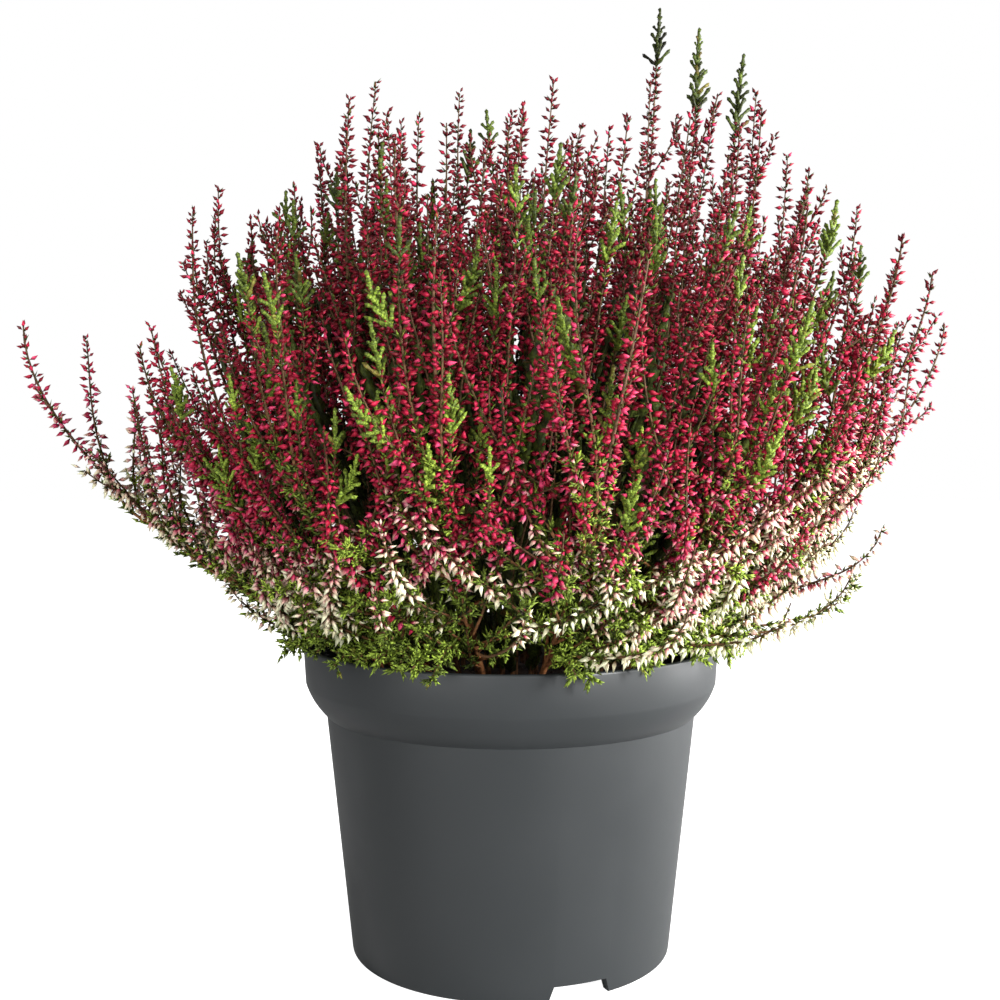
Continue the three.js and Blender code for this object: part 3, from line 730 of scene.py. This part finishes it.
# ---- Fringe branches ----
def bezier(points, steps):
    a, b, c, d = points
    t = np.linspace(0, 1, steps)[:, None]
    return a * (1 - t) ** 3 + 3 * b * t * (1 - t) ** 2 + 3 * c * t**2 * (1 - t) + d * t**3


def lies_over(swing):
    """How far the end of a spray that swings wide lies over to its side."""
    return math.copysign(min(max(abs(swing) - 0.25, 0) * 2, 1.2), swing)


def spray_way(start, heading, radius, height, over):
    outwards = np.array([math.cos(heading), math.sin(heading), 0])
    side = np.array([-outwards[1], outwards[0], 0])
    tip = outwards * radius + [SPRAY_LEAN * max(0, SPRAY_LEAN_HEIGHT - height), 0, height]
    third = np.linalg.norm(tip - start) / 3
    leave = start + outwards * third + [0, 0, third * SPRAY_RISE]
    arrive = tip - (outwards * SPRAY_RISE + side * over + [0, 0, 1 - 0.6 * min(abs(over), 1)]) * third
    return bezier((start, leave, arrive, tip), LINE_POINTS)


def from_gap(heading):
    """The angle between a heading and the middle of the gap."""
    return abs((heading - GAP_AZIMUTH + math.pi) % (2 * math.pi) - math.pi)


def leaf_line_at(heading, hangs, near_gap, random):
    """The height up to which a low spray is leafy: none if it hangs, and the highest near the gap."""
    if near_gap:
        return LEAF_LINE[1]
    line = random.uniform(*LEAF_LINE) - SIDE_LEAF_RISE * math.cos(heading)
    return 0 if hangs else line


def add_low_spray(piece, place, spray, draws, added, random):
    """A side spray of a fringe branch. An added one keeps out of the gap, and may hang."""
    fork_time, swing, far, high, follow = spray
    wider = place["radius"] / CROWN_RADIUS - 1
    heading = place["azimuth"] + swing * mix(*SPRAY_SWING, draws[0])
    radius = far * (1 + wider * follow) * mix(*SPRAY_RADIUS, draws[1])
    height = high * mix(*SPRAY_HEIGHT, draws[2])
    in_gap = from_gap(heading) < GAP_HALF_WIDTH
    if added:
        height -= max(0, height - LOW_SIDE_HEIGHT) * max(0, -math.cos(heading)) ** 4
        if in_gap and height < GAP_HEIGHT:
            return
    start = flow_points(place, np.array([fork_time]))[0]
    line = wobbled(spray_way(start, heading, radius, height, lies_over(swing)), random, SPRAY_WOBBLE)
    shoot = Shoot(line, sideways(heading))
    near_gap = from_gap(heading) < 2 * GAP_HALF_WIDTH
    hangs = added and not near_gap and random.uniform() < HANGING_SHARE
    leaf_line = leaf_line_at(heading, hangs, near_gap, random)
    rising = np.maximum.accumulate(line[:, 2])
    leafy_run = max(shoot.length * SPRAY_BUD_TIME, np.interp(leaf_line, rising, shoot.run))
    bud_start = min(leafy_run, shoot.length - LAST_BUDS)
    bare = np.interp(GAP_BARE_HEIGHT, rising, shoot.run) if in_gap else shoot.length * SPRAY_BARE_SHARE
    may_be_leafy = height > LEAFY_FROM and abs(swing) < LEAFY_SWING
    leafy = random.uniform() < LOW_LEAFY_TIP_SHARE and may_be_leafy
    tip_size = float(leafy and shoot.ends_within(TIP_SIDE_WIDTH))
    add_spike(piece, shoot, bud_start, tip_size, SPRAY_STEM, random)
    leaves_end = max(bud_start, bare)
    add_mossy_twigs(piece, shoot, bare, leaves_end + 6, 4, random.uniform(0.4, 1), random)
    add_leaves(piece, shoot, bare, leaves_end + 10, 2.4, random.uniform(0.1, 0.5), random)
    leafy = random.uniform() < LOW_LEAFY_SIDE and may_be_leafy
    if leafy and shoot.ends_within(LOW_LEAFY_WIDTH):
        add_leafy_side(piece, shoot, (0.45, 0.75), random)


def add_rim_spray(piece, place, swing, random):
    """A leafy spray that lies out over the rim."""
    heading = place["azimuth"] + swing
    if from_gap(heading) < GAP_HALF_WIDTH:
        return
    start = flow_points(place, np.array([random.uniform(0.02, 0.06)]))[0]
    drapes = random.uniform() < DRAPING_SHARE
    if drapes:
        radius, height = random.uniform(73, 81), random.uniform(103, 109)
    else:
        radius = random.uniform(50, 106)
        height = 106 + max(radius - RIM_RADIUS, 0) * 0.85 + random.uniform(-3, 7)
    outwards = np.array([math.cos(heading), math.sin(heading), 0])
    tip = outwards * radius + [0, 0, height]
    over = outwards * (radius * 0.84) + [0, 0, max(height, 110) + random.uniform(2, 9)]
    way = bezier((start, mix(start, over, 0.5) + [0, 0, 6], over, tip), 20)
    shoot = Shoot(way, sideways(heading))
    piece.add_stem(shoot, *RIM_STEM)
    bright = random.uniform(0.55, 1) if drapes else random.uniform(0.6, 1.15)
    step = 1.8 if drapes else 2.2
    add_mossy_twigs(piece, shoot, shoot.length * 0.25, shoot.length - 2, step, bright, random)


def grow_fringe(place, draw, random):
    piece = Gathered()
    times = np.linspace(0, 1, LINE_POINTS)
    points = rooted(flow_points(place, times))
    axis = Shoot(wobbled(points, random, FRINGE_WOBBLE), sideways(place["azimuth"]))
    bud_start = axis.at_time(FRINGE_BUD_TIME, times)
    leafy = random.uniform() < HIGH_LEAFY_TIP_SHARE and abs(points[-1][0]) < TIP_SIDE_WIDTH
    add_spike(piece, axis, bud_start, float(leafy), FRINGE_STEM, random)
    for _ in range(3):
        add_budding_side(piece, axis, (0.5, 0.85), random)
    for spray in SIDE_SPRAYS:
        add_low_spray(piece, place, spray, [draw(), draw(), draw()], False, random)
    for spray in EXTRA_SPRAYS:
        add_low_spray(piece, place, spray, random.uniform(size=3), True, random)
    for i in range(RIM_SPRAYS):
        swing = (i + random.uniform(0, 1)) / RIM_SPRAYS - 0.5
        add_rim_spray(piece, place, swing * 2 * math.pi / FRINGE_BRANCHES, random)
    return piece


# ---- Finishes ----
def grey(level):
    return level, level, level


class Finish:
    """A material, with short ways to add the nodes that it is made of."""

    def __init__(self, name):
        self.material = bpy.data.materials.new(name)
        self.material.use_nodes = True
        self.nodes, self.links = self.material.node_tree.nodes, self.material.node_tree.links
        self.shader = self.nodes["Principled BSDF"]

    def feed(self, socket, value):
        """Sets a socket to a number or a colour, or links another node's output to it."""
        if isinstance(value, (int, float)):
            socket.default_value = value
        elif isinstance(value, tuple):
            socket.default_value = (*value, 1)
        else:
            self.links.new(value, socket)

    def surface(self, **values):
        """Feeds the shader: the words of a socket's name are joined by _."""
        for name, value in values.items():
            self.feed(self.shader.inputs[name.replace("_", " ")], value)

    def tones(self):
        """The three tones of a gathered piece's corners."""
        tone = self.nodes.new("ShaderNodeAttribute")
        tone.attribute_name = "tone"
        split = self.nodes.new("ShaderNodeSeparateColor")
        self.links.new(tone.outputs["Color"], split.inputs["Color"])
        return split.outputs

    def ramp(self, share, stops):
        ramp = self.nodes.new("ShaderNodeValToRGB")
        elements = ramp.color_ramp.elements
        while len(elements) < len(stops):
            elements.new(0.5)
        for element, (position, colour) in zip(elements, stops):
            element.position = position
            element.color = (*colour, 1)
        self.links.new(share, ramp.inputs[0])
        return ramp.outputs[0]

    def noise(self, scale, detail=2):
        where = self.nodes.new("ShaderNodeTexCoord")
        made = self.nodes.new("ShaderNodeTexNoise")
        made.inputs["Scale"].default_value = scale
        made.inputs["Detail"].default_value = detail
        self.links.new(where.outputs["Object"], made.inputs["Vector"])
        return made.outputs["Fac"]

    def maths(self, operation, one, other=0):
        made = self.nodes.new("ShaderNodeMath")
        made.operation = operation
        self.feed(made.inputs[0], one)
        self.feed(made.inputs[1], other)
        return made.outputs[0]

    def mixed(self, share, one, other, blend="MIX"):
        made = self.nodes.new("ShaderNodeMix")
        made.data_type = "RGBA"
        made.blend_type = blend
        for place, value in ((0, share), (6, one), (7, other)):  # the sockets of a colour mix
            self.feed(made.inputs[place], value)
        return made.outputs[2]

    def times(self, one, other):
        return self.mixed(1.0, one, other, "MULTIPLY")

    def bump(self, height, strength, depth):
        bump = self.nodes.new("ShaderNodeBump")
        bump.inputs["Strength"].default_value = strength
        bump.inputs["Distance"].default_value = depth * MILLIMETRE
        self.links.new(height, bump.inputs["Height"])
        self.links.new(bump.outputs[0], self.shader.inputs["Normal"])


def bud_finish():
    """Crimson to cream by a bud's paleness. The cream starts at its point, and its foot is green."""
    finish = Finish("heather_buds")
    pale, along, shade = finish.tones()
    spread = finish.maths("MULTIPLY", pale, 2.1)
    held = finish.maths("MULTIPLY", finish.maths("SUBTRACT", 1.0, along), 1.2)
    # the shade tone carries each bud's random tone and its painted shade by height
    crimson = finish.ramp(shade, [(0, (0.1, 0.0025, 0.007)), (0.5, (0.28, 0.004, 0.022)),
                                  (0.85, (0.49, 0.014, 0.055)), (1, (0.58, 0.045, 0.13))])
    pink = finish.ramp(shade, [(0, (0.32, 0.012, 0.05)), (0.6, (0.52, 0.034, 0.12)), (1, (0.62, 0.1, 0.24))])
    cream = finish.ramp(shade, [(0, (0.72, 0.66, 0.43)), (0.5, (0.83, 0.81, 0.55)), (1, (0.87, 0.89, 0.6))])
    pinker = finish.mixed(finish.maths("MULTIPLY", pale, 2.2), crimson, pink)
    colour = finish.mixed(finish.maths("SUBTRACT", spread, held), pinker, cream)
    foot = finish.ramp(along, [(0, (0.25, 0.25, 0.12)), (0.2, (0.4, 0.36, 0.22)), (0.36, grey(1))])
    veins = finish.ramp(finish.noise(900), [(0.3, grey(0.8)), (0.7, grey(1.1))])
    colour = finish.times(finish.times(colour, foot), veins)
    finish.surface(Base_Color=colour, Roughness=0.5, Specular_IOR_Level=0.26)
    return finish.material


def leaf_finish():
    """Olive to bright green by a leaf's brightness, which carries painted light and shade, with painted shade
    at the foot of each scale leaf and a painted highlight at its tip, and some rust.
    """
    finish = Finish("heather_leaves")
    bright, along, shade = finish.tones()
    green = finish.ramp(bright, [(0, (0.009, 0.009, 0.004)), (0.3, (0.058, 0.083, 0.013)),
                                 (0.65, (0.168, 0.242, 0.032)), (1, (0.31, 0.43, 0.057))])
    scale = finish.maths("FRACT", finish.maths("MULTIPLY", along, SCALE_ROWS))
    # painted shade at each scale leaf's foot and a painted highlight towards its tip
    tip = finish.ramp(scale, [(0, (0.4, 0.4, 0.35)), (0.4, (0.85, 0.85, 0.8)), (1, (1.5, 1.45, 1.2))])
    rust = finish.maths("MULTIPLY", finish.maths("GREATER_THAN", shade, 0.95), 0.25)
    colour = finish.mixed(rust, finish.times(green, tip), (0.25, 0.1, 0.03))
    mottle = finish.noise(1200)
    spots = finish.ramp(mottle, [(0.38, grey(0.5)), (0.62, grey(1.3))])
    finish.surface(Base_Color=finish.times(colour, spots), Roughness=0.55, Specular_IOR_Level=0.18)
    finish.bump(mottle, 0.5, 0.3)
    return finish.material


def stem_finish():
    """Dark young bark to rust brown old bark, flaked."""
    finish = Finish("heather_stems")
    age = finish.tones()[0]
    bark = finish.ramp(age, [(0, (0.09, 0.048, 0.024)), (0.4, (0.095, 0.049, 0.021)),
                             (0.7, (0.16, 0.07, 0.028)), (1, (0.34, 0.13, 0.045))])
    grain = finish.noise(700, 4)
    flakes = finish.ramp(grain, [(0.3, grey(0.45)), (0.7, grey(1.3))])
    finish.surface(Base_Color=finish.times(bark, flakes), Roughness=0.75, Specular_IOR_Level=0.2)
    finish.bump(grain, 0.8, 0.4)
    return finish.material


def pot_finish():
    """Moulded dark grey plastic: faint clouds, a smudged gloss and a fine grain."""
    finish = Finish("pot_plastic")
    base = finish.ramp(finish.noise(9, 3), [(0.3, (0.0136, 0.016, 0.0172)), (0.7, (0.0174, 0.0202, 0.0217))])
    gloss = finish.ramp(finish.noise(30, 5), [(0.3, grey(0.4)), (0.7, grey(0.5))])
    finish.surface(Base_Color=base, Roughness=gloss, Specular_IOR_Level=0.42)
    finish.bump(finish.noise(2500, 2), 0.12, 0.1)
    return finish.material


def soil_finish():
    """Moist peat."""
    finish = Finish("peat")
    cloud = finish.noise(260, 6)
    base = finish.ramp(cloud, [(0.3, (0.008, 0.005, 0.004)), (0.6, (0.03, 0.017, 0.01)),
                               (0.8, (0.09, 0.05, 0.028))])
    finish.surface(Base_Color=base, Roughness=0.92)
    finish.bump(cloud, 1.0, 1.2)
    return finish.material


# ---- Pot and soil ----
def arc(start, corner, end, steps):
    """Points of a rounded corner after its start."""
    shares = [i / steps for i in range(1, steps + 1)]
    return [tuple(mix(mix(a, b, t), mix(b, c, t), t) for a, b, c in zip(start, corner, end)) for t in shares]


def turn_profile(name, profile, sides):
    """A closed turned body: a ring goes from each (radius, height) of the profile to the next."""
    profile = [(radius * MILLIMETRE, height * MILLIMETRE) for radius, height in profile]
    begin(bpy.ops.mesh.primitive_circle_add, vertices=sides, radius=profile[0][0], fill_type="NOTHING")
    bpy.ops.transform.translate(value=(0, 0, profile[0][1]))
    for (radius, height), (wider, higher) in zip(profile, profile[1:]):
        bpy.ops.mesh.extrude_edges_move(TRANSFORM_OT_translate={"value": (0, 0, higher - height)})
        bpy.ops.transform.resize(value=(wider / radius, wider / radius, 1), center_override=(0, 0, 0))
    bpy.ops.mesh.edge_face_add()
    bpy.ops.mesh.select_all(action="DESELECT")
    mesh = edited_mesh()
    for vert in mesh.verts:  # the first ring is the only one still open
        vert.select_set(any(edge.is_boundary for edge in vert.link_edges))
    mesh.select_flush(True)
    bpy.ops.mesh.edge_face_add()
    bpy.ops.mesh.select_all(action="SELECT")
    bpy.ops.mesh.normals_make_consistent(inside=False)
    bpy.ops.object.mode_set(mode="OBJECT")
    piece = bpy.context.object
    piece.name = piece.data.name = name
    return piece


def wall_radius(height):
    """The tapering wall's outside at a height."""
    return mix(FOOT_RADIUS, COLLAR_FOOT[0], height / COLLAR_FOOT[1])


def outer_wall():
    foot = (FOOT_RADIUS - FOOT_EDGE_RADIUS, 0)
    lift = (wall_radius(FOOT_EDGE_RADIUS), FOOT_EDGE_RADIUS)
    return ([foot] + arc(foot, (FOOT_RADIUS, 0), lift, 5) + [COLLAR_FOOT]
            + arc(COLLAR_FOOT, COLLAR_BEND, COLLAR_SHOULDER, 10) + [(RIM_RADIUS, POT_HEIGHT - RIM_EDGE)])


def inside(place):
    """The place on the pot's inside that lies behind one on its outside."""
    return place[0] - WALL, place[1] + INSIDE_RISE


INNER_FLOOR = FLOOR_UNDERSIDE + WALL
INNER_FOOT_RADIUS = wall_radius(INNER_FLOOR) - WALL
INNER_NECK, INNER_BEND, INNER_COLLAR = inside(COLLAR_FOOT), inside(COLLAR_BEND), inside(COLLAR_SHOULDER)


def pot_profile():
    """Under the floor, down the foot ring, up the outside, over the rim, and down the inside to the floor."""
    ring = FOOT_RADIUS - FOOT_RING_WIDTH
    profile = [(MIDDLE_RADIUS, FLOOR_UNDERSIDE), (ring, FLOOR_UNDERSIDE), (ring, 0)] + outer_wall()
    top, inner_rim = (RIM_RADIUS - WALL / 2, POT_HEIGHT), RIM_RADIUS - WALL
    profile += arc(profile[-1], (RIM_RADIUS, POT_HEIGHT), top, 4)
    profile += arc(profile[-1], (inner_rim, POT_HEIGHT), (inner_rim, POT_HEIGHT - RIM_EDGE), 4)
    profile += [INNER_COLLAR] + arc(INNER_COLLAR, INNER_BEND, INNER_NECK, 8)
    return profile + [(INNER_FOOT_RADIUS, INNER_FLOOR), (MIDDLE_RADIUS, INNER_FLOOR)]


def cut_away(piece, place, turn=0):
    """Ends the edit of a cutter, and cuts its shape out of a piece."""
    bpy.ops.object.mode_set(mode="OBJECT")
    cutter = bpy.context.object
    cutter.location = place
    cutter.rotation_euler.z = turn
    boolean = piece.modifiers.new("cut", "BOOLEAN")
    boolean.object = cutter
    boolean.operation = "DIFFERENCE"
    bpy.context.view_layer.objects.active = piece
    bpy.ops.object.modifier_apply(modifier="cut")
    bpy.data.objects.remove(cutter)


def cut_notch(pot, azimuth):
    """The cutter reaches as far below the ground as above it, so its lower face flares twice as much."""
    begin(bpy.ops.mesh.primitive_cube_add, size=MILLIMETRE)
    bpy.ops.transform.resize(value=(FOOT_RING_WIDTH * NOTCH_REACH, NOTCH_WIDTH, FLOOR_UNDERSIDE * 2))
    select_height(-1, 0)
    bpy.ops.transform.resize(value=(1, 1 + 4 * NOTCH_FLARE / NOTCH_WIDTH, 1), center_override=(0, 0, 0))
    radius = FOOT_RADIUS * MILLIMETRE
    cut_away(pot, (radius * math.cos(azimuth), radius * math.sin(azimuth), 0), turn=azimuth)


def cut_drain(pot, azimuth):
    begin(bpy.ops.mesh.primitive_cylinder_add, vertices=32, radius=DRAIN_RADIUS * MILLIMETRE,
          depth=WALL * DRAIN_REACH * MILLIMETRE)
    place = Vector((math.cos(azimuth), math.sin(azimuth), 0)) * DRAIN_CIRCLE * MILLIMETRE
    cut_away(pot, place + Vector((0, 0, FLOOR_UNDERSIDE * MILLIMETRE)))


def choose(*pieces):
    """Selects pieces, and makes the first of them the active one."""
    bpy.ops.object.select_all(action="DESELECT")
    for piece in pieces:
        piece.select_set(True)
    bpy.context.view_layer.objects.active = pieces[0]


def make_pot(material):
    pot = turn_profile("pot_moulded", pot_profile(), POT_SIDES)
    for i in range(NOTCH_COUNT):
        azimuth = NOTCH_AZIMUTH + i * 2 * math.pi / NOTCH_COUNT
        cut_notch(pot, azimuth)
        cut_drain(pot, azimuth)
    choose(pot)
    bpy.ops.object.shade_smooth_by_angle(angle=math.radians(32))
    pot.data.materials.append(material)
    return pot


def soil_height(x, y):
    """Height of the peat over its mean: slow hills, and clods over them."""
    hills = SOIL_RELIEF * (math.sin(x * 0.21 + 1) * math.cos(y * 0.17) + 0.5 * math.sin(x * 0.11 - y * 0.29))
    return hills + sum(noise.noise(Vector((x, y, cut)) * close) * rise for close, rise, cut in CLODS)


def make_crumbs(radius, material):
    """Crumbs of peat that lie all over the soil."""
    random = np.random.default_rng(5)
    from_middle = radius * np.sqrt(random.uniform(size=CRUMBS))
    azimuth = random.uniform(0, FULL_TURN, CRUMBS)
    x, y = from_middle * np.cos(azimuth), from_middle * np.sin(azimuth)
    z = [SOIL_TOP + soil_height(*place) - 0.4 for place in zip(x, y)]
    size = random.uniform(0.3, 1.1, CRUMBS)
    headings = unit(random.normal(size=(CRUMBS, 3)) + [0, 0, 2])
    crumbs = Gathered()
    crumbs.add_copies(CRUMB, np.stack([x, y, z], axis=1), headings, np.stack([size, size * 0.8], axis=1),
                      random.uniform(size=(CRUMBS, 2)), 0, random)
    return crumbs.to_piece("soil_crumbs", [material])


def make_soil(material):
    edge = INNER_COLLAR[0] - SOIL_GAP
    floor = INNER_FLOOR + SOIL_GAP
    profile = [(MIDDLE_RADIUS, floor), (INNER_FOOT_RADIUS - SOIL_GAP, floor),
               (INNER_NECK[0] - SOIL_GAP, INNER_NECK[1]), (edge - SOIL_EDGE, INNER_COLLAR[1]),
               (edge - SOIL_EDGE, SOIL_TOP - SOIL_EDGE)]
    profile += [(mix(edge - 2 * SOIL_EDGE, 1, i / SOIL_RINGS), SOIL_TOP) for i in range(SOIL_RINGS + 1)]
    soil = turn_profile("soil_crumbly", profile, 96)
    for vert in soil.data.vertices:
        if vert.co.z > (SOIL_TOP - 0.5) * MILLIMETRE:
            vert.co.z += soil_height(vert.co.x / MILLIMETRE, vert.co.y / MILLIMETRE) * MILLIMETRE
    soil.data.materials.append(material)
    choose(soil, make_crumbs(edge - 4, material))
    bpy.ops.object.join()
    bpy.ops.object.shade_smooth_by_angle(angle=math.radians(50))
    return soil


# ---- Studio ----
FLOOR_RADIUS = 3
LAMPS = [  # place and size in metres, and watts
    ("key", (0.93, -0.88, 0.43), 0.35, 37), ("side", (1.0, 0.2, 0.25), 0.5, 20),
    ("fill", (-0.7, -1.0, 0.22), 0.9, 14), ("back", (-0.4, 0.9, 0.9), 0.5, 3),
]


def add_camera():
    camera = bpy.data.objects.new("camera", bpy.data.cameras.new("camera"))
    bpy.context.scene.collection.objects.link(camera)
    bpy.context.scene.camera = camera
    camera.location = (-0.0036, -0.4795, 0.1782)
    camera.rotation_euler = (math.pi / 2 - 0.0537, 0, 0)
    camera.data.lens = 50.9
    camera.data.sensor_width = 36
    camera.data.clip_start = 0.01


def add_floor():
    """A pale floor that runs out white into the room."""
    begin(bpy.ops.mesh.primitive_circle_add, vertices=64, radius=FLOOR_RADIUS, fill_type="NGON")
    bpy.ops.object.mode_set(mode="OBJECT")
    floor = bpy.context.object
    floor.name = "floor"
    finish = Finish("floor_white")
    finish.surface(Base_Color=grey(0.55), Roughness=0.9, Specular_IOR_Level=0, Emission_Color=grey(1))
    seen = finish.nodes.new("ShaderNodeLightPath")
    finish.surface(Emission_Strength=seen.outputs["Is Camera Ray"])
    floor.data.materials.append(finish.material)


def light_room():
    """A white room that gives the plant only a little of its light."""
    world = bpy.data.worlds.new("studio")
    bpy.context.scene.world = world
    world.use_nodes = True
    nodes, links = world.node_tree.nodes, world.node_tree.links
    seen, lit = nodes["Background"], nodes.new("ShaderNodeBackground")
    for background, strength in ((seen, 1.0), (lit, 0.27)):
        background.inputs["Color"].default_value = (1, 1, 1, 1)
        background.inputs["Strength"].default_value = strength
    path, choose = nodes.new("ShaderNodeLightPath"), nodes.new("ShaderNodeMixShader")
    links.new(path.outputs["Is Camera Ray"], choose.inputs[0])
    links.new(lit.outputs[0], choose.inputs[1])
    links.new(seen.outputs[0], choose.inputs[2])
    links.new(choose.outputs[0], nodes["World Output"].inputs["Surface"])


def add_lamp(name, place, size, power):
    light = bpy.data.lights.new(name, "AREA")
    light.size = size
    light.energy = power
    lamp = bpy.data.objects.new(name, light)
    bpy.context.scene.collection.objects.link(lamp)
    lamp.location = place
    lamp.rotation_euler = (Vector((0, 0, 0.17)) - Vector(place)).to_track_quat("-Z", "Y").to_euler()


# ---- The whole ----
def settle(piece, node):
    """A finished piece stands for its node, and moves with the pot."""
    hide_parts(node)
    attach(piece, "root")


def settle_branches(kind, places, grow, seed):
    for i, place in enumerate(places):
        node = f"{kind}_{i + 1:02d}"
        branch = grow(place, draw, np.random.default_rng(seed + i))
        settle(branch.to_piece(node + "_grown", plant_finishes), node)


bpy.context.scene.view_settings.view_transform = "Standard"
add_camera()
add_floor()
light_room()
for lamp in LAMPS:
    add_lamp(*lamp)

settle(make_pot(pot_finish()), "pot")
settle(make_soil(soil_finish()), "soil")
plant_finishes = [bud_finish(), leaf_finish(), stem_finish()]  # in the order of BUDS, LEAVES and STEMS
draw = make_draw(SEED)
settle_branches("flowering_branch", upright_places(draw), grow_upright, 100)
settle_branches("fringe_branch", fringe_places(draw), grow_fringe, 200)
